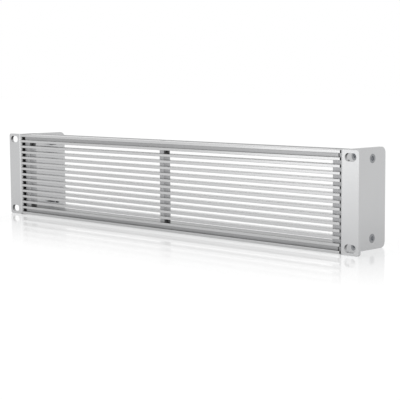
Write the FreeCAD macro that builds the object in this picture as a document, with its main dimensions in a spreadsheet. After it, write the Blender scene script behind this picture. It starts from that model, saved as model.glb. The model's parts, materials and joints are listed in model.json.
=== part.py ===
import FreeCAD, Part
import math
import os
import types
import Sketcher
from FreeCAD import Placement, Rotation, Vector

# Vented blanking panel, 2U of a 19-inch rack, in millimetres.
# Fifteen slats sit on three upright posts, and two rails behind the posts tie a pair of bent
# brackets together. A strip closes the first and the last gap, and a rubber seal is clamped between
# each end post and its side plate. X runs along the panel, the front faces -Y and Z is up. The origin
# is at the middle of the footprint, on the surface that the panel stands on.

SIZES = {
    # the rack standard: over the ears, 2U high, and slots 465.1 by 76.2 apart for the rack's screws
    "panel_width": 482.6,
    "panel_height": 88.1,
    "slot_end_inset": 8.75,
    "slot_edge_inset": 5.95,
    "slot_length": 12.0,
    "slot_width": 7.0,
    # brackets bent from sheet
    "panel_depth": 60.5,
    "ear_width": 17.7,
    "sheet_thickness": 3.0,
    "bend_radius": 0.5,
    "ear_corner_radius": 2.5,
    "plate_corner_radius": 5.5,
    # slats, spread evenly over the height
    "slat_count": 15,
    "slat_edge_gap": 0.45,
    "slat_thickness": 2.6,
    "slat_depth": 10.5,
    "slat_end_gap": 0.4,
    "tongue_depth": 2.4,
    "tip_reach": 0.8,
    "tip_depth": 1.0,
    "slat_edge_radius": 0.3,
    # posts, set back from the front, with a comb of shallow seats for the slats
    "post_setback": 4.4,
    "post_wall": 0.7,
    "post_end_gap": 0.5,
    "end_post_width": 10.0,
    "centre_post_width": 5.6,
    "comb_depth": 0.5,
    "comb_clearance": 0.05,
    "notch_clearance": 0.1,
    # strips that close the first and the last gap, in front of the posts
    "strip_thickness": 0.8,
    "strip_clearance": 0.05,
    "strip_end_gap": 3.5,
    # rubber seals between the end posts and the side plates, with a lip beside the slats' ends
    "seal_thickness": 1.6,
    "seal_clearance": 0.1,
    "lip_reach": 1.7,
    # rails
    "rail_depth": 8.0,
    "rail_wall": 0.65,
    "rail_edge_gap": 0.3,
    "rail_edge_radius": 0.5,
    # countersunk screws in the brackets
    "thread_diameter": 4.0,
    "thread_clearance": 0.05,
    "head_diameter": 8.0,
    "head_rim": 0.2,
    "head_sink": 0.1,
    "head_clearance": 0.1,
    "tip_chamfer": 0.5,
    "socket_width": 4.0,
    "socket_depth": 1.5,
    "side_screw_setback": 42.2,
    "side_screw_edge": 9.6,
    "rail_screw_edge": 5.8,
    "rail_screw_length": 16.0,
    "rail_hole_extra": 2.0,
    # washers and long nuts on the side screws
    "washer_diameter": 9.0,
    "washer_thickness": 0.8,
    "nut_width": 7.0,
    "nut_height": 6.6,
    "nut_face_width": 6.6,
    "nut_open_depth": 3.6,
    # black screws across the posts, in the second gap from the top and from the bottom
    "post_head_diameter": 7.2,
    "post_screw_gap": 2,
    "post_socket_width": 2.5,
    "recess_depth": 1.4,
    "thread_end_gap": 1.0,
    # screws from behind, through the rails into the centre post
    "back_thread_diameter": 3.0,
    "back_head_diameter": 6.0,
    "cross_span": 3.2,
    "cross_width": 1.1,
    "back_grip": 6.0,
}

FULL_TURN = 360
COUNTERSINK_ANGLE = 90
NUT_CHAMFER_ANGLE = 30
HEX_SIDES = 6
CORNER_PER_FLAT = 1 / math.sqrt(3)
TOLERANCE = 1e-4

X_AXIS = Vector(1, 0, 0)
Y_AXIS = Vector(0, 1, 0)
Z_AXIS = Vector(0, 0, 1)

doc = FreeCAD.newDocument("vented_blanking_panel")
sheet = doc.addObject("Spreadsheet::Sheet", "Sizes")
nodes = []


class Size:
    """A length or a count, known as a number and as a formula of the sheet's cells."""

    def __init__(self, number, formula):
        self.number = number
        self.formula = formula

    def __add__(self, other):
        other = sized(other)
        return Size(self.number + other.number, f"({self.formula} + {other.formula})")

    def __sub__(self, other):
        other = sized(other)
        return Size(self.number - other.number, f"({self.formula} - {other.formula})")

    def __mul__(self, other):
        other = sized(other)
        return Size(self.number * other.number, f"({self.formula} * {other.formula})")

    def __truediv__(self, other):
        other = sized(other)
        return Size(self.number / other.number, f"({self.formula} / {other.formula})")

    def __neg__(self):
        return Size(-self.number, f"(-{self.formula})")


def sized(value):
    """A plain number as a size that no cell changes."""
    return value if isinstance(value, Size) else Size(value, str(value))


def fill_sheet():
    """Each size in a cell of its own, and the same names as values to build with."""
    for row, (name, number) in enumerate(SIZES.items(), start=1):
        sheet.set(f"A{row}", name)
        sheet.set(f"B{row}", str(number))
        sheet.setAlias(f"B{row}", name)
    doc.recompute()
    return types.SimpleNamespace(
        **{name: Size(number, f"{sheet.Name}.{name}") for name, number in SIZES.items()}
    )


def bind(item, **sizes):
    """Ties properties to the sheet; a double underscore stands for the dot in a property's path."""
    for path, size in sizes.items():
        item.setExpression(path.replace("__", "."), size.formula)


def place(item, rotation, x, y, z):
    item.Placement = Placement(Vector(), rotation)
    bind(item, Placement__Base__x=x, Placement__Base__y=y, Placement__Base__z=z)


def keep(item, label):
    """Makes an object one of the panel's sub-parts."""
    item.Label = label
    nodes.append(item)
    return item


def origin_feature(body, role):
    return next(item for item in body.Origin.OriginFeatures if item.Role == role)


def sketch(body, name, plane, lift=None):
    """A sketch on one of the body's origin planes, lifted along the plane's normal."""
    drawing = body.newObject("Sketcher::SketchObject", name)
    drawing.AttachmentSupport = [(origin_feature(body, plane), "")]
    drawing.MapMode = "FlatFace"
    if lift is not None:
        bind(drawing, AttachmentOffset__Base__z=lift)
    return drawing


def pin(drawing, geometry, point, x, y):
    """Fixes one point of a sketch at sizes measured from the sketch's origin."""
    for kind, size in (("DistanceX", x), ("DistanceY", y)):
        index = drawing.addConstraint(
            Sketcher.Constraint(kind, -1, 1, geometry, point, size.number)
        )
        drawing.setExpression(f"Constraints[{index}]", size.formula)


def polygon(drawing, points):
    """A closed outline of straight lines."""
    corners = [Vector(x.number, y.number, 0) for x, y in points]
    lines = [
        drawing.addGeometry(Part.LineSegment(corner, corners[(i + 1) % len(corners)]))
        for i, corner in enumerate(corners)
    ]
    for i, line in enumerate(lines):
        drawing.addConstraint(Sketcher.Constraint("Coincident", line, 2, lines[(i + 1) % len(lines)], 1))
    for line, (x, y) in zip(lines, points):
        pin(drawing, line, 1, x, y)


def rectangle(drawing, x0, x1, y0, y1):
    polygon(drawing, [(x0, y0), (x1, y0), (x1, y1), (x0, y1)])


def circle(drawing, x, y, diameter):
    ring = drawing.addGeometry(
        Part.Circle(Vector(x.number, y.number, 0), Z_AXIS, diameter.number / 2)
    )
    pin(drawing, ring, 3, x, y)
    index = drawing.addConstraint(Sketcher.Constraint("Diameter", ring, diameter.number))
    drawing.setExpression(f"Constraints[{index}]", diameter.formula)


def round_slot(drawing, x, y, length, width):
    """A slot along the sketch's first axis, with round ends."""
    radius = width / 2
    reach = (length - width) / 2
    left = Vector((x - reach).number, y.number, 0)
    right = Vector((x + reach).number, y.number, 0)
    up = Vector(0, radius.number, 0)
    quarter = math.pi / 2
    outline = [
        Part.ArcOfCircle(Part.Circle(left, Z_AXIS, radius.number), quarter, 3 * quarter),
        Part.LineSegment(left - up, right - up),
        Part.ArcOfCircle(Part.Circle(right, Z_AXIS, radius.number), -quarter, quarter),
        Part.LineSegment(right + up, left + up),
    ]
    left_arc, low, right_arc, high = [drawing.addGeometry(item) for item in outline]
    for first, second in ((left_arc, low), (low, right_arc), (right_arc, high), (high, left_arc)):
        drawing.addConstraint(Sketcher.Constraint("Tangent", first, 2, second, 1))
    drawing.addConstraint(Sketcher.Constraint("Equal", left_arc, right_arc))
    index = drawing.addConstraint(Sketcher.Constraint("Radius", left_arc, radius.number))
    drawing.setExpression(f"Constraints[{index}]", radius.formula)
    pin(drawing, left_arc, 3, x - reach, y)
    pin(drawing, right_arc, 3, x + reach, y)


def pad(body, drawing, length):
    feature = body.newObject("PartDesign::Pad", f"{drawing.Name}_pad")
    feature.Profile = drawing
    bind(feature, Length=length)


def pocket(body, drawing, depth=None, forwards=False):
    """Cuts against the sketch's normal, or along it when forwards, and right through without a depth."""
    feature = body.newObject("PartDesign::Pocket", f"{drawing.Name}_cut")
    feature.Profile = drawing
    feature.Reversed = forwards
    if depth is None:
        feature.Type = "ThroughAll"
    else:
        bind(feature, Length=depth)
    return feature


def countersink(body, drawing, bore, mouth, forwards=False):
    """Through holes with a cone at the sketch's plane, one for each circle of the sketch."""
    body.Tip.recompute(True)
    drawing.recompute(True)
    feature = body.newObject("PartDesign::Hole", f"{drawing.Name}_holes")
    feature.Profile = drawing
    feature.DepthType = "ThroughAll"
    feature.HoleCutType = "Countersink"
    feature.HoleCutCustomValues = True
    feature.HoleCutCountersinkAngle = COUNTERSINK_ANGLE
    feature.Reversed = forwards
    bind(feature, Diameter=bore, HoleCutDiameter=mouth)


def fillet(body, radius, direction, chosen):
    """Rounds the straight edges along a direction whose midpoint is chosen."""
    base = body.Tip
    base.recompute(True)
    names = [
        f"Edge{i}"
        for i, edge in enumerate(base.Shape.Edges, start=1)
        if edge.Curve.TypeId == "Part::GeomLine"
        and abs(edge.Curve.Direction.dot(direction)) > 1 - TOLERANCE
        and chosen(edge.CenterOfMass)
    ]
    feature = body.newObject("PartDesign::Fillet", f"{body.Name}_round")
    feature.Base = (base, names)
    bind(feature, Radius=radius)


def near(number, size):
    return abs(number - size.number) < TOLERANCE


def mirrored(source, name, normal, height=None):
    """The source's mirror image across the middle of the panel, or across a height."""
    image = doc.addObject("Part::Mirroring", name)
    image.Source = source
    image.Normal = normal
    if height is not None:
        bind(image, Base__z=height)
    return image


def group(label, items):
    """Fasteners of one kind, as separate solids of one sub-part."""
    collection = doc.addObject("Part::Compound", label)
    collection.Links = items
    keep(collection, label)


def upper_and_lower(label, items):
    """Lower fasteners and their images above the panel's half height."""
    images = [mirrored(item, f"{item.Name}_upper", Z_AXIS, half_height) for item in items]
    group(label, items + images)


def all_corners(label, first):
    """A fastener at the right below, and its images at the panel's other three corners."""
    upper_and_lower(label, [first, mirrored(first, f"{first.Name}_left", X_AXIS)])


d = fill_sheet()
zero = sized(0)

# holes
tapped = d.thread_diameter + d.thread_clearance * 2
back_tapped = d.back_thread_diameter + d.thread_clearance * 2
mouth = d.head_diameter + d.head_clearance * 2
post_mouth = d.post_head_diameter + d.head_clearance * 2
back_mouth = d.back_head_diameter + d.head_clearance * 2

# levels along X, from the middle of the panel to its right end
half_width = d.panel_width / 2
plate_outer = half_width - d.ear_width
plate_inner = plate_outer - d.sheet_thickness
slat_end = plate_inner - d.slat_end_gap
tongue_end = plate_inner - d.notch_clearance
tip_end = plate_inner + d.tip_reach
lip_side = slat_end + d.seal_clearance
seal_side = plate_inner - d.seal_thickness
strip_end = plate_inner - d.strip_end_gap
end_post_side = plate_inner - d.end_post_width
centre_post_side = d.centre_post_width / 2
nut_seat = plate_inner - d.washer_thickness

# levels along Y, from the front to the back
front = -d.panel_depth / 2
back = d.panel_depth / 2
ear_back = front + d.sheet_thickness
post_front = front + d.post_setback
seat = post_front + d.comb_depth
tip_back = front + d.tip_depth
tongue_back = front + d.tongue_depth
lip_front = post_front - d.lip_reach
seal_front = seat + d.notch_clearance
slat_back = front + d.slat_depth
post_screw_y = post_front + d.post_wall + d.post_head_diameter / 2
rail_front = post_front + d.post_wall * 2 + d.post_head_diameter
rail_middle = rail_front + d.rail_depth / 2
rail_back = rail_front + d.rail_depth
side_screw_y = front + d.side_screw_setback

# levels along Z, from the bottom up
half_height = d.panel_height / 2
slat_travel = d.panel_height - d.slat_edge_gap * 2 - d.slat_thickness
slat_pitch = slat_travel / (d.slat_count - 1)
slat_gap = slat_pitch - d.slat_thickness
rail_top = d.rail_screw_edge + tapped / 2 + d.rail_wall
back_screw_z = (d.rail_edge_gap + rail_top) / 2
post_screw_z = d.slat_edge_gap + slat_pitch * d.post_screw_gap - slat_gap / 2


def heights(low):
    """A level near the bottom and its mirror image near the top."""
    return low, d.panel_height - low


def make_bracket():
    """Right bracket: a side plate whose front edge is bent outwards into the rack ear."""
    body = doc.addObject("PartDesign::Body", "bracket")
    profile = sketch(body, "bracket_profile", "XY_Plane")
    polygon(profile, [
        (plate_inner, front),
        (half_width, front),
        (half_width, ear_back),
        (plate_outer, ear_back),
        (plate_outer, back),
        (plate_inner, back),
    ])
    pad(body, profile, d.panel_height)
    outer_bend = d.bend_radius + d.sheet_thickness
    fillet(body, outer_bend, Z_AXIS, lambda p: near(p.x, plate_inner) and near(p.y, front))
    fillet(body, d.bend_radius, Z_AXIS, lambda p: near(p.x, plate_outer) and near(p.y, ear_back))
    fillet(body, d.ear_corner_radius, Y_AXIS, lambda p: near(p.x, half_width))
    fillet(body, d.plate_corner_radius, X_AXIS, lambda p: near(p.y, back))

    slots = sketch(body, "rack_slots", "XZ_Plane", -front)
    for level in heights(d.slot_edge_inset):
        round_slot(slots, half_width - d.slot_end_inset, level, d.slot_length, d.slot_width)
    pocket(body, slots)

    seats = sketch(body, "bracket_seats", "YZ_Plane", plate_outer)
    for level in heights(d.side_screw_edge):
        circle(seats, side_screw_y, level, tapped)
    for level in heights(d.rail_screw_edge):
        circle(seats, rail_middle, level, tapped)
    countersink(body, seats, tapped, mouth)

    threads = sketch(body, "bracket_threads", "YZ_Plane", plate_outer)
    for level in heights(post_screw_z):
        circle(threads, post_screw_y, level, tapped)
    pocket(body, threads)
    return body


def make_rail():
    """Bottom rail: a square bar between the side plates, tapped at its ends and bored in its middle."""
    body = doc.addObject("PartDesign::Body", "rail")
    section = sketch(body, "rail_section", "YZ_Plane", -plate_inner)
    rectangle(section, rail_front, rail_back, d.rail_edge_gap, rail_top)
    pad(body, section, plate_inner * 2)
    fillet(body, d.rail_edge_radius, X_AXIS, lambda p: True)

    end = sketch(body, "rail_end", "YZ_Plane", plate_inner)
    circle(end, rail_middle, d.rail_screw_edge, tapped)
    end_hole = pocket(body, end, d.rail_screw_length - d.sheet_thickness + d.rail_hole_extra)
    both_ends = body.newObject("PartDesign::Mirrored", "rail_ends")
    both_ends.Originals = [end_hole]
    both_ends.MirrorPlane = (origin_feature(body, "YZ_Plane"), [""])
    body.Tip = both_ends

    middle = sketch(body, "rail_middle", "XZ_Plane", -rail_back)
    circle(middle, zero, back_screw_z, back_tapped)
    countersink(body, middle, back_tapped, back_mouth, forwards=True)
    return body


def make_post(name, left, right):
    """An upright bar with a shallow seat cut across its front for each slat."""
    body = doc.addObject("PartDesign::Body", name)
    section = sketch(body, f"{name}_section", "XY_Plane", d.post_end_gap)
    rectangle(section, left, right, post_front, rail_front)
    pad(body, section, d.panel_height - d.post_end_gap * 2)

    seats = sketch(body, f"{name}_seat", "YZ_Plane", right)
    low = d.slat_edge_gap - d.comb_clearance
    high = d.slat_edge_gap + d.slat_thickness + d.comb_clearance
    rectangle(seats, front, seat, low, high)
    first_seat = pocket(body, seats)
    comb = body.newObject("PartDesign::LinearPattern", f"{name}_comb")
    comb.Originals = [first_seat]
    comb.Direction = (origin_feature(body, "Z_Axis"), [""])
    bind(comb, Length=slat_travel, Occurrences=d.slat_count)
    body.Tip = comb
    return body


def make_seal():
    """Right seal: a bar between the end post and the side plate, and a thin lip in front of it."""
    body = doc.addObject("PartDesign::Body", "seal")
    section = sketch(body, "seal_section", "XY_Plane", d.post_end_gap)
    polygon(section, [
        (lip_side, lip_front),
        (plate_inner, lip_front),
        (plate_inner, rail_front),
        (seal_side, rail_front),
        (seal_side, seal_front),
        (lip_side, seal_front),
    ])
    pad(body, section, d.panel_height - d.post_end_gap * 2)
    holes = sketch(body, "seal_holes", "YZ_Plane", plate_inner)
    for level in heights(post_screw_z):
        circle(holes, post_screw_y, level, tapped)
    pocket(body, holes)
    return body


def add_cross_holes(body, side, forwards):
    """Countersunk holes across a post, with their cones on the given side."""
    holes = sketch(body, f"{body.Name}_cross", "YZ_Plane", side)
    for level in heights(post_screw_z):
        circle(holes, post_screw_y, level, tapped)
    countersink(body, holes, tapped, post_mouth, forwards)


def make_end_post():
    body = make_post("end_post", end_post_side, seal_side)
    add_cross_holes(body, end_post_side, forwards=True)
    return body


def make_centre_post():
    body = make_post("middle_post", -centre_post_side, centre_post_side)
    add_cross_holes(body, centre_post_side, forwards=False)
    rear = sketch(body, "middle_post_rear", "XZ_Plane", -rail_front)
    for level in heights(back_screw_z):
        circle(rear, zero, level, back_tapped)
    pocket(body, rear, d.back_grip, forwards=True)
    return body


def make_slat(number):
    """A flat bar, counted from the top, cut away at the posts and tapered at its ends along the bends."""
    name = f"slat_{number:02d}"
    body = doc.addObject("PartDesign::Body", name)
    outline = sketch(body, f"{name}_outline", "XY_Plane")
    end_notch = end_post_side - d.notch_clearance
    middle_notch = centre_post_side + d.notch_clearance
    right_half = [
        (tip_end, front),
        (tip_end, tip_back),
        (tongue_end, tongue_back),
        (slat_end, tongue_back),
        (slat_end, seat),
        (end_notch, seat),
        (end_notch, slat_back),
        (middle_notch, slat_back),
        (middle_notch, seat),
    ]
    polygon(outline, right_half + [(-x, y) for x, y in reversed(right_half)])
    pad(body, outline, d.slat_thickness)
    fillet(body, d.slat_edge_radius, X_AXIS, lambda p: near(p.y, front))
    bind(body, Placement__Base__z=d.slat_edge_gap + slat_pitch * (d.slat_count - number))
    return body


def make_strip():
    """Bottom strip: fills the lowest gap between the slats, in front of the posts."""
    strip = doc.addObject("Part::Box", "strip")
    bind(strip, Length=strip_end * 2, Width=d.strip_thickness, Height=slat_gap - d.strip_clearance * 2)
    low = d.slat_edge_gap + d.slat_thickness + d.strip_clearance
    place(strip, Rotation(), -strip_end, post_front - d.strip_thickness, low)
    return strip


def make_screw(name, thread, head, length, recess, recess_depth):
    """A countersunk screw that hangs down from the middle of its head's face."""
    body = doc.addObject("PartDesign::Body", name)
    half = sketch(body, f"{name}_half", "XZ_Plane")
    shank = thread / 2
    polygon(half, [
        (zero, zero),
        (head / 2, zero),
        (head / 2, -d.head_rim),
        (shank, -(d.head_rim + head / 2 - shank)),
        (shank, d.tip_chamfer - length),
        (shank - d.tip_chamfer, -length),
        (zero, -length),
    ])
    turned = body.newObject("PartDesign::Revolution", f"{name}_turned")
    turned.Profile = half
    turned.ReferenceAxis = (half, ["V_Axis"])
    turned.Angle = FULL_TURN
    drive = sketch(body, f"{name}_drive", "XY_Plane")
    recess(drive)
    pocket(body, drive, recess_depth)
    return body


def draw_cross(drawing):
    """The twelve corners of a cross."""
    s = d.cross_span / 2
    w = d.cross_width / 2
    quarter = [(s, w), (w, w), (w, s)]
    half = quarter + [(-x, y) for x, y in reversed(quarter)]
    polygon(drawing, half + [(-x, -y) for x, y in half])


def hexagon(flats):
    """Draws a hexagon from its width across the flats."""
    def draw(drawing):
        side = flats * (CORNER_PER_FLAT / 2)
        tip = flats * CORNER_PER_FLAT
        right = [(side, -flats / 2), (tip, zero), (side, flats / 2)]
        polygon(drawing, right + [(-x, -y) for x, y in right])
    return draw


def make_plate_screw(name, length, y, z):
    """A screw with a hexagon socket, from outside through the right side plate."""
    socket = hexagon(d.socket_width)
    screw = make_screw(name, d.thread_diameter, d.head_diameter, length, socket, d.socket_depth)
    place(screw, Rotation(Z_AXIS, X_AXIS), plate_outer - d.head_sink, y, z)
    return screw


def make_side_screw():
    grip = d.sheet_thickness + d.washer_thickness + d.nut_height
    length = grip - d.nut_open_depth - d.head_sink
    return make_plate_screw("side_screw", length, side_screw_y, d.side_screw_edge)


def make_rail_screw():
    return make_plate_screw("rail_screw", d.rail_screw_length, rail_middle, d.rail_screw_edge)


def make_post_screw(name, length):
    """A black screw with a hexagon socket, for a hole across a post."""
    socket = hexagon(d.post_socket_width)
    return make_screw(name, d.thread_diameter, d.post_head_diameter, length, socket, d.recess_depth)


def make_end_post_screw():
    length = d.end_post_width + d.sheet_thickness - d.thread_end_gap - d.head_sink
    screw = make_post_screw("end_post_screw", length)
    place(screw, Rotation(Z_AXIS, -X_AXIS), end_post_side + d.head_sink, post_screw_y, post_screw_z)
    return screw


def make_centre_post_screw():
    screw = make_post_screw("centre_post_screw", d.centre_post_width - d.head_sink * 2)
    place(screw, Rotation(Z_AXIS, X_AXIS), centre_post_side - d.head_sink, post_screw_y, post_screw_z)
    return screw


def make_back_screw():
    length = d.rail_depth + d.back_grip - d.thread_end_gap
    screw = make_screw(
        "back_screw", d.back_thread_diameter, d.back_head_diameter, length, draw_cross, d.recess_depth
    )
    place(screw, Rotation(Z_AXIS, Y_AXIS), zero, rail_back - d.head_sink, back_screw_z)
    return screw


def rod(name, diameter, length, x):
    """A round bar inwards from a level of the right side plate, on the side screw's axis."""
    item = doc.addObject("Part::Cylinder", name)
    bind(item, Radius=diameter / 2, Height=length)
    place(item, Rotation(Z_AXIS, -X_AXIS), x, side_screw_y, d.side_screw_edge)
    return item


def cut(name, base, tool):
    result = doc.addObject("Part::Cut", name)
    result.Base = base
    result.Tool = tool
    return result


def make_washer():
    disc = rod("washer_disc", d.washer_diameter, d.washer_thickness, plate_inner)
    return cut("washer", disc, rod("washer_bore", tapped, d.washer_thickness, plate_inner))


def make_nut():
    """A long hexagon nut on its washer, with the corners of its free face turned off."""
    prism = doc.addObject("Part::Prism", "nut_prism")
    prism.Polygon = HEX_SIDES
    bind(prism, Circumradius=d.nut_width * CORNER_PER_FLAT, Height=d.nut_height)
    cone = doc.addObject("Part::Cone", "nut_cone")
    flare = 1 / math.tan(math.radians(NUT_CHAMFER_ANGLE))
    bind(cone, Radius1=d.nut_face_width / 2 + d.nut_height * flare, Radius2=d.nut_face_width / 2)
    bind(cone, Height=d.nut_height)
    for item in (prism, cone):
        place(item, Rotation(Z_AXIS, -X_AXIS), nut_seat, side_screw_y, d.side_screw_edge)
    turned = doc.addObject("Part::Common", "nut_turned")
    turned.Base = prism
    turned.Tool = cone
    return cut("nut", turned, rod("nut_bore", tapped, d.nut_height, nut_seat))


def build():
    right_bracket = keep(make_bracket(), "right_bracket")
    keep(mirrored(right_bracket, "bracket_left", X_AXIS), "left_bracket")
    bottom_rail = keep(make_rail(), "bottom_rail")
    keep(mirrored(bottom_rail, "rail_upper", Z_AXIS, half_height), "top_rail")
    right_post = keep(make_end_post(), "right_post")
    keep(mirrored(right_post, "post_left", X_AXIS), "left_post")
    keep(make_centre_post(), "centre_post")
    for number in range(1, d.slat_count.number + 1):
        slat = make_slat(number)
        keep(slat, slat.Name)
    bottom_strip = keep(make_strip(), "bottom_strip")
    keep(mirrored(bottom_strip, "strip_upper", Z_AXIS, half_height), "top_strip")
    right_seal = keep(make_seal(), "right_seal")
    keep(mirrored(right_seal, "seal_left", X_AXIS), "left_seal")
    all_corners("side_screws", make_side_screw())
    all_corners("side_washers", make_washer())
    all_corners("side_nuts", make_nut())
    all_corners("rail_screws", make_rail_screw())
    all_corners("end_post_screws", make_end_post_screw())
    upper_and_lower("centre_post_screws", [make_centre_post_screw()])
    upper_and_lower("post_rail_screws", [make_back_screw()])
    doc.recompute()


def check():
    """Stops before anything is written if an object failed or a sub-part's shape is unsound."""
    failed = [item.Label for item in doc.Objects if {"Invalid", "Error"} & set(item.State)]
    unsound = [item.Label for item in nodes if item.Shape.isNull() or not item.Shape.isValid()]
    if failed or unsound:
        raise RuntimeError(f"failed: {failed}, unsound: {unsound}")


def write():
    os.makedirs("parts", exist_ok=True)
    for item in nodes:
        item.Shape.exportStep(f"parts/{item.Label}.step")
        print(f"{item.Label}: {len(item.Shape.Solids)} solids, {item.Shape.Volume:.1f} mm3")


build()
check()
write()
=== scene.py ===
import json
import math
import bpy
from mathutils import Matrix, Vector


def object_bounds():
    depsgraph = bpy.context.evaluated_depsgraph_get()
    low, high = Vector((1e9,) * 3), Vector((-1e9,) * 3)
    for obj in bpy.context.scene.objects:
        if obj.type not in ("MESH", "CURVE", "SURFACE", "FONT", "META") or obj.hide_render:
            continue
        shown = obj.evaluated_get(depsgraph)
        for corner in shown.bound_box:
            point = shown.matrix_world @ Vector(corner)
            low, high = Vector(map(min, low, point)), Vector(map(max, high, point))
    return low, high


# Vented blanking panel: the finishes of its pieces, the floor, the light and the camera, in metres.

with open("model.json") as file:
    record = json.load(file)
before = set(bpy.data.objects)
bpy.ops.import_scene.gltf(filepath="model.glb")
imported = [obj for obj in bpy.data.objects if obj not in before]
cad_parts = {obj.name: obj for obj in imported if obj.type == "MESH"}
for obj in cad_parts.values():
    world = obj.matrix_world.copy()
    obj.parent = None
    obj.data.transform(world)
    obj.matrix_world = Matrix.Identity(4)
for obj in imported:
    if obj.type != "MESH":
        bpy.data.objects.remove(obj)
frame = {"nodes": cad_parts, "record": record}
cad_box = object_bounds()

# colours of the metals and the rubber; the rubber seals' black is painted shade, a dark piece in
# the pockets beside the slats' ends
ANODISED = (0.545, 0.548, 0.553)
BRUSHED = (0.530, 0.532, 0.535)
# the strips, rails and posts are darker than the sheet and slats partly as painted shade behind the
# slats; the rails, of one finish with the posts, darker still as painted shade
STRIP_TONE_AND_PAINTED_SHADE = (0.350, 0.352, 0.356)
RAIL_TONE_AND_PAINTED_SHADE = (0.320, 0.323, 0.328)
POST_TONE_AND_PAINTED_SHADE = (0.410, 0.413, 0.420)
ZINC = (0.290, 0.296, 0.306)
BLACK_OXIDE = (0.180, 0.180, 0.184)
SEAL_BLACK_PAINTED_SHADE = (0.018, 0.018, 0.018)

# how far the noise makes each colour darker and lighter
ANODISED_SPREAD = 0.02
BRUSHED_SPREAD = 0.03
MILL_SPREAD = 0.05
ZINC_SPREAD = 0.08
BLACK_SPREAD = 0.3

# least and greatest roughness
ANODISED_ROUGHNESS = (0.30, 0.36)
BRUSHED_ROUGHNESS = (0.24, 0.32)
MILL_ROUGHNESS = (0.36, 0.46)
ZINC_ROUGHNESS = (0.28, 0.42)
BLACK_OXIDE_ROUGHNESS = (0.30, 0.45)
RUBBER_ROUGHNESS = (0.75, 0.90)

# the noise's cells per metre along X, Y and Z, its detail, the values that it mostly lies between,
# and the height of the bumps that follow it
CLOUD_CELLS = (14, 14, 14)
SPECKLE_CELLS = (1900, 1900, 1900)
STREAK_CELLS = (18, 2600, 2600)
RAIL_CELLS = (9, 1500, 1500)
POST_CELLS = (1500, 1500, 9)
ZINC_CELLS = (900, 900, 900)
BLACK_CELLS = (1200, 1200, 1200)
CLOUD_DETAIL = 2
MOTTLE_DETAIL = 3
STREAK_DETAIL = 4
NOISE_RANGE = (0.3, 0.7)
GRAIN_DEPTH = 0.00001
DIE_LINE_DEPTH = 0.000005

# occlusion runs over this range from a hole or corner to an open face
OCCLUSION_RANGE = (0.35, 0.65)
OCCLUSION_SAMPLES = 16

# reach of the occlusion, and the share of a colour in holes and corners: painted shade on the sheet
# and beside the slats' ends, painted light in the screws' sockets
SHEET_PAINTED_SHADE = (0.008, 0.12)
BEND_PAINTED_SHADE = (0.006, 0.03)
SOCKET_PAINTED_LIGHT = (0.005, 1.9)

# the ears' slots lie between these distances from the middle and within this one from mid height
SLOT_ZONE_X = (0.2250, 0.2405)
SLOT_ZONE_Z = 0.0425
HALF_HEIGHT = 0.04405

# a slot's walls have a normal whose Y is below this, either way, and get painted shade: their share
# of light grows with its Z over this range
SLOT_SIDEWAYS = 0.5
SLOT_FACING = (-0.7, 0.6)
SLOT_PAINTED_SHADE = (0.10, 0.80)

# what faces the grille has a distance from the middle, times its normal's X, below this
INWARD = -0.06

# the slats' tops, where the normal's Z is above this, get a painted highlight that makes them a
# little brighter than their fronts, but the lowest two get painted shade
TOP_FACING = 0.7
TOP_PAINTED_LIGHT = 1.15
LOW_TOP_PAINTED_SHADE = 0.45
SHADED_BELOW = 0.0100

# the photograph's camera
IMAGE_PIXELS = 400
FOCAL_PIXELS = 1178.0
SENSOR_MM = 36.0
CAMERA_PLACE = (0.83095, -0.80169, 0.14913)
CAMERA_YAW = 45.11
CAMERA_PITCH = 5.979
CAMERA_ROLL = -0.413
LEVEL_TILT = 90

# floor and light
FLOOR_SIZE = 12.0
FLOOR_COLOUR = (0.92, 0.92, 0.92)
FLOOR_LIFT = 0.62
FLOOR_IOR = 1.32
FLOOR_ROUGHNESS = 0.055
SHEEN_REACH = 0.16
# a painted shadow: the floor's white, as the metal's reflections see it, dims near the panel within
# this reach by this depth
PAINTED_SHADOW_REACH = 0.35
PAINTED_SHADOW_DEPTH = 0.26
WHITE = (1.0, 1.0, 1.0)
SKY_LIGHT = 0.45
LAMP_SIZE = (0.30, 0.11)
LAMP_AIM = (0.16, -0.03, 0.05)
LAMPS = {
    "main_softbox": ((-0.37, -0.82, 0.06), 0.235),
    "side_softbox": ((-0.78, -0.70, 0.20), 0.05),
}


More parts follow.
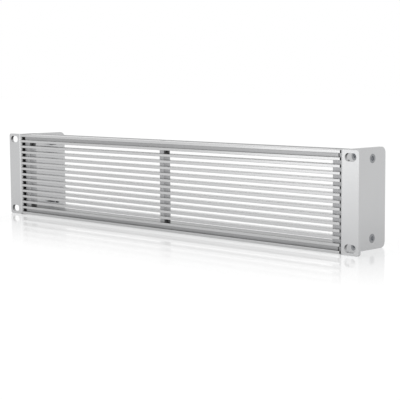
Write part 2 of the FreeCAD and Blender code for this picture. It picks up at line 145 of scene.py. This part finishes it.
class Tree:
    """Short calls for wiring the nodes of one material or of the world."""

    def __init__(self, owner):
        owner.use_nodes = True
        self.nodes = owner.node_tree.nodes
        self.links = owner.node_tree.links

    def add(self, kind, inputs=None, **settings):
        node = self.nodes.new(kind)
        for name, value in settings.items():
            setattr(node, name, value)
        for name, value in (inputs or {}).items():
            self.feed(node.inputs[name], value)
        return node

    def feed(self, socket, value):
        """Links an output to a socket, or sets the socket's own value."""
        if isinstance(value, bpy.types.NodeSocket):
            self.links.new(value, socket)
        else:
            socket.default_value = value

    def math(self, operation, first, second=0.0):
        return self.add("ShaderNodeMath", {0: first, 1: second}, operation=operation).outputs[0]

    def span(self, value, source, target):
        """A number that runs over the target range while a value runs over the source range."""
        limits = zip(("From Min", "From Max", "To Min", "To Max"), (*source, *target))
        return self.add("ShaderNodeMapRange", {"Value": value, **dict(limits)}).outputs["Result"]

    def split(self, vector):
        return self.add("ShaderNodeSeparateXYZ", {"Vector": vector}).outputs

    def surface(self):
        """X, Y and Z of a point's place and of its normal."""
        geometry = self.add("ShaderNodeNewGeometry").outputs
        return self.split(geometry["Position"]), self.split(geometry["Normal"])

    def grain(self, cells_per_metre, detail):
        """Noise from 0 to 1 with so many cells per metre along X, Y and Z."""
        place = self.add("ShaderNodeTexCoord").outputs["Object"]
        stretched = self.add("ShaderNodeMapping", {"Vector": place, "Scale": cells_per_metre})
        noise = self.add(
            "ShaderNodeTexNoise",
            {"Vector": stretched.outputs["Vector"], "Scale": 1.0, "Detail": detail},
        )
        return noise.outputs["Fac"]

    def shades(self, share, colour, spread):
        """A colour that gets darker and lighter by a spread, with a noise."""
        ramp = self.add("ShaderNodeValToRGB", {"Fac": share})
        dark, light = ramp.color_ramp.elements
        dark.position, light.position = NOISE_RANGE
        dark.color = [channel * (1 - spread) for channel in colour] + [1]
        light.color = [channel * (1 + spread) for channel in colour] + [1]
        return ramp.outputs["Color"]

    def times(self, colour, share):
        product = self.add("ShaderNodeVectorMath", {0: colour, 1: share}, operation="MULTIPLY")
        return product.outputs[0]

    def where(self, mask, share):
        """A share where a mask is 1, and 1 where it is 0."""
        loss = self.math("MULTIPLY", mask, self.math("SUBTRACT", 1.0, share))
        return self.math("SUBTRACT", 1.0, loss)

    def painted_occlusion(self, reach, closed_share, own=True):
        """A share of colour painted in holes and corners, from the closed share there to 1, by what
        lies within a reach: painted shade below 1, painted light above it.
        """
        light = self.add(
            "ShaderNodeAmbientOcclusion",
            {"Distance": reach},
            samples=OCCLUSION_SAMPLES,
            only_local=own,
        ).outputs["AO"]
        return self.span(light, OCCLUSION_RANGE, (closed_share, 1.0))

    def painted_slot_shade(self):
        """Painted shade on the walls of the ears' slots: a share of light, least of all where they
        face down.
        """
        place, facing = self.surface()
        reach = self.math("ABSOLUTE", place["X"])
        rise = self.math("ABSOLUTE", self.math("SUBTRACT", place["Z"], HALF_HEIGHT))
        wall = self.math("LESS_THAN", self.math("ABSOLUTE", facing["Y"]), SLOT_SIDEWAYS)
        for test in (
            self.math("GREATER_THAN", reach, SLOT_ZONE_X[0]),
            self.math("LESS_THAN", reach, SLOT_ZONE_X[1]),
            self.math("LESS_THAN", rise, SLOT_ZONE_Z),
        ):
            wall = self.math("MULTIPLY", wall, test)
        return self.where(wall, self.span(facing["Z"], SLOT_FACING, SLOT_PAINTED_SHADE))

    def painted_bend_shade(self):
        """Painted shade on what faces the grille: a share of light, least of all beside the slats'
        ends.
        """
        place, facing = self.surface()
        inward = self.math("LESS_THAN", self.math("MULTIPLY", place["X"], facing["X"]), INWARD)
        return self.where(inward, self.painted_occlusion(*BEND_PAINTED_SHADE, own=False))

    def bump(self, height, depth):
        """A surface normal from a height of so many metres."""
        node = self.add("ShaderNodeBump", {"Height": height, "Distance": depth, "Strength": 1.0})
        return node.outputs["Normal"]


def finish(name, pattern, roughness, metallic=1.0):
    """A new material whose roughness follows a noise, with its tree, shader and noise."""
    material = bpy.data.materials.new(name)
    tree = Tree(material)
    shader = tree.nodes["Principled BSDF"]
    shader.inputs["Metallic"].default_value = metallic
    noise = tree.grain(*pattern)
    tree.feed(shader.inputs["Roughness"], tree.span(noise, NOISE_RANGE, roughness))
    return material, tree, shader.inputs, noise


def anodised(name, colour):
    """Satin silver sheet: even, with a fine blasted grain, and with painted shade in its holes and
    corners, on its slots' walls and beside the slats' ends.
    """
    pattern = (SPECKLE_CELLS, MOTTLE_DETAIL)
    material, tree, inputs, speckle = finish(name, pattern, ANODISED_ROUGHNESS)
    cloud = tree.grain(CLOUD_CELLS, CLOUD_DETAIL)
    tone = tree.shades(cloud, colour, ANODISED_SPREAD)
    # painted shade in holes and corners, on the slots' walls and beside the slats' ends
    for share in (tree.painted_occlusion(*SHEET_PAINTED_SHADE), tree.painted_slot_shade(), tree.painted_bend_shade()):
        tone = tree.times(tone, share)
    tree.feed(inputs["Base Color"], tone)
    tree.feed(inputs["Normal"], tree.bump(speckle, GRAIN_DEPTH))
    return material


def brushed():
    """Silver slats, brushed along their length."""
    pattern = (STREAK_CELLS, STREAK_DETAIL)
    material, tree, inputs, streak = finish("brushed_slat", pattern, BRUSHED_ROUGHNESS)
    place, facing = tree.surface()
    # painted highlight on the slats' tops, and painted shade on the tops of the lowest two
    top = tree.math("GREATER_THAN", facing["Z"], TOP_FACING)
    low = tree.math("LESS_THAN", place["Z"], SHADED_BELOW)
    light = tree.math("MULTIPLY", tree.where(low, LOW_TOP_PAINTED_SHADE / TOP_PAINTED_LIGHT), TOP_PAINTED_LIGHT)
    tone = tree.times(tree.shades(streak, BRUSHED, BRUSHED_SPREAD), tree.where(top, light))
    tree.feed(inputs["Base Color"], tone)
    tree.feed(inputs["Normal"], tree.bump(streak, GRAIN_DEPTH))
    return material


def mill(name, colour, cells):
    """Plain drawn bars with die lines along their length, a little darker, partly as painted shade
    for where they lie behind the slats.
    """
    material, tree, inputs, line = finish(name, (cells, STREAK_DETAIL), MILL_ROUGHNESS)
    tree.feed(inputs["Base Color"], tree.shades(line, colour, MILL_SPREAD))
    tree.feed(inputs["Normal"], tree.bump(line, DIE_LINE_DEPTH))
    return material


def zinc():
    """Zinc plated steel, faintly mottled, with painted light that makes it brighter in its sockets.
    """
    pattern = (ZINC_CELLS, MOTTLE_DETAIL)
    material, tree, inputs, mottle = finish("zinc_plated", pattern, ZINC_ROUGHNESS)
    # painted light in the screws' sockets
    tone = tree.times(tree.shades(mottle, ZINC, ZINC_SPREAD), tree.painted_occlusion(*SOCKET_PAINTED_LIGHT))
    tree.feed(inputs["Base Color"], tone)
    return material


def black(name, colour, roughness):
    """Blackened steel or rubber, with a fine mottle."""
    pattern = (BLACK_CELLS, MOTTLE_DETAIL)
    material, tree, inputs, mottle = finish(name, pattern, roughness, metallic=0.0)
    tree.feed(inputs["Base Color"], tree.shades(mottle, colour, BLACK_SPREAD))
    return material


def dress():
    """Gives every piece its finish."""
    finishes = {
        "bracket_finish": anodised("anodised_sheet", ANODISED),
        "slat_finish": brushed(),
        "strip_finish": anodised("anodised_strip", STRIP_TONE_AND_PAINTED_SHADE),
        # the black seals in the pockets beside the slats' ends are painted shade
        "seal_rubber": black("rubber", SEAL_BLACK_PAINTED_SHADE, RUBBER_ROUGHNESS),
        "zinc_fasteners": zinc(),
        "black_fasteners": black("black_oxide", BLACK_OXIDE, BLACK_OXIDE_ROUGHNESS),
    }
    # one drawn finish in two tones: the rails' darker tone is painted shade
    rail_finish = mill("drawn_rail", RAIL_TONE_AND_PAINTED_SHADE, RAIL_CELLS)
    post_finish = mill("drawn_post", POST_TONE_AND_PAINTED_SHADE, POST_CELLS)
    for part in frame["record"]["subparts"]:
        own_finish = rail_finish if part["node"].endswith("rail") else post_finish
        piece = frame["nodes"][part["node"]]
        piece.data.materials.clear()
        piece.data.materials.append(finishes.get(part["material_slot"], own_finish))


def shown_white(tree, strength):
    """A strength that only camera, glossy and transmission rays see."""
    rays = tree.add("ShaderNodeLightPath").outputs
    seen = rays["Is Camera Ray"]
    for kind in ("Is Glossy Ray", "Is Transmission Ray"):
        seen = tree.math("MAXIMUM", seen, rays[kind])
    return tree.math("MULTIPLY", seen, strength)


def nearness(tree, reach):
    """From 1 at the panel's footprint down to 0 at a distance from it."""
    low, high = cad_box
    half = [(b - a) / 2 for a, b in zip(low, high)]
    place = tree.add("ShaderNodeNewGeometry").outputs["Position"]
    for operation, other in (("ABSOLUTE", place), ("SUBTRACT", half), ("MAXIMUM", (0, 0, 0))):
        step = tree.add("ShaderNodeVectorMath", {0: place, 1: other}, operation=operation)
        place = step.outputs[0]
    away = tree.add("ShaderNodeVectorMath", {0: place}, operation="LENGTH").outputs["Value"]
    return tree.span(away, (0.0, reach), (1.0, 0.0))


def make_floor():
    """A white table top with a faint gloss that keeps the panel's shadow, and with a painted shadow
    near the panel where the metal's reflections see it.
    """
    bpy.ops.mesh.primitive_plane_add(size=FLOOR_SIZE)
    floor = bpy.context.object
    floor.name = "floor"
    material = bpy.data.materials.new("floor_white")
    tree = Tree(material)
    tree.nodes.clear()
    rays = tree.add("ShaderNodeLightPath").outputs
    matte = tree.add("ShaderNodeBsdfDiffuse", {"Color": (*FLOOR_COLOUR, 1)})
    # painted shadow: the floor looks darker near the panel in the metal's reflections
    shade = tree.math("MULTIPLY", nearness(tree, PAINTED_SHADOW_REACH), PAINTED_SHADOW_DEPTH)
    shown = tree.where(rays["Is Glossy Ray"], tree.math("SUBTRACT", 1.0, shade))
    strength = tree.math("MULTIPLY", shown_white(tree, FLOOR_LIFT), shown)
    lift = tree.add("ShaderNodeEmission", {"Strength": strength})
    ground = tree.add("ShaderNodeAddShader", {0: matte.outputs[0], 1: lift.outputs[0]})
    gloss = tree.add("ShaderNodeBsdfGlossy", {"Color": (*WHITE, 1), "Roughness": FLOOR_ROUGHNESS})
    sheen = tree.add("ShaderNodeFresnel", {"IOR": FLOOR_IOR}).outputs[0]
    for share in (rays["Is Camera Ray"], nearness(tree, SHEEN_REACH)):
        sheen = tree.math("MULTIPLY", sheen, share)
    layers = {0: sheen, 1: ground.outputs[0], 2: gloss.outputs[0]}
    surface = tree.add("ShaderNodeMixShader", layers)
    tree.add("ShaderNodeOutputMaterial", {"Surface": surface.outputs[0]})
    floor.data.materials.append(material)


def make_sky():
    """Even light from all sides, white where the camera or the metal sees it."""
    world = bpy.data.worlds.new("studio")
    bpy.context.scene.world = world
    tree = Tree(world)
    background = tree.nodes["Background"]
    background.inputs["Color"].default_value = (*WHITE, 1)
    strength = tree.math("ADD", shown_white(tree, 1 - SKY_LIGHT), SKY_LIGHT)
    tree.feed(background.inputs["Strength"], strength)


def make_lamps():
    """Low softboxes in front, to the left, that the slats and the right ear reflect."""
    for name, (place, watts) in LAMPS.items():
        data = bpy.data.lights.new(name, "AREA")
        data.shape = "RECTANGLE"
        data.size, data.size_y = LAMP_SIZE
        data.energy = watts
        lamp = bpy.data.objects.new(name, data)
        bpy.context.scene.collection.objects.link(lamp)
        lamp.location = place
        aim = Vector(LAMP_AIM) - Vector(place)
        lamp.rotation_euler = aim.to_track_quat("-Z", "Y").to_euler()
        lamp.visible_camera = False


def turn(degrees, axis):
    return Matrix.Rotation(math.radians(degrees), 4, axis)


def make_camera():
    """The photograph's view."""
    data = bpy.data.cameras.new("camera")
    data.sensor_width = SENSOR_MM
    data.lens = SENSOR_MM * FOCAL_PIXELS / IMAGE_PIXELS
    camera = bpy.data.objects.new("camera", data)
    bpy.context.scene.collection.objects.link(camera)
    camera.matrix_world = (
        Matrix.Translation(CAMERA_PLACE)
        @ turn(CAMERA_YAW, "Z")
        @ turn(LEVEL_TILT - CAMERA_PITCH, "X")
        @ turn(CAMERA_ROLL, "Z")
    )
    bpy.context.scene.camera = camera


dress()
make_floor()
make_sky()
make_lamps()
make_camera()
bpy.context.scene.view_settings.view_transform = "Standard"
